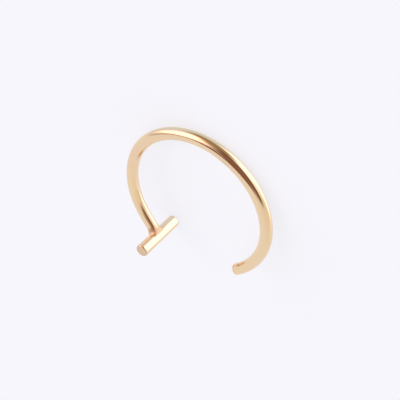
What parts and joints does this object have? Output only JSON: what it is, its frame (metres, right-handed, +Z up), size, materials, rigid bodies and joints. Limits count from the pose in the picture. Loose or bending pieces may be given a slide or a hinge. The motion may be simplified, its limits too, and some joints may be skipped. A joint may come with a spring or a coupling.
{
  "type": "lip ring",
  "caption": "Open hoop of round polished gold-coloured wire, worn over the lip, with a short round crossbar soldered square across an end and a plain cut free tip.",
  "frame": {"origin": "centre of the footprint, on the surface that the ring lies on", "axes": "+Z up from that surface, +Y from the hoop's centre towards the crossbar, +X to its right"},
  "size_m": [0.011, 0.0114, 0.0039],
  "materials": {
    "polished_gold": "polished yellow gold plate over brass wire, mirror bright, with faint drawing lines along the wire"
  },
  "bodies": {
    "root": {"lip_ring": "polished_gold"}
  },
  "joints": []
}
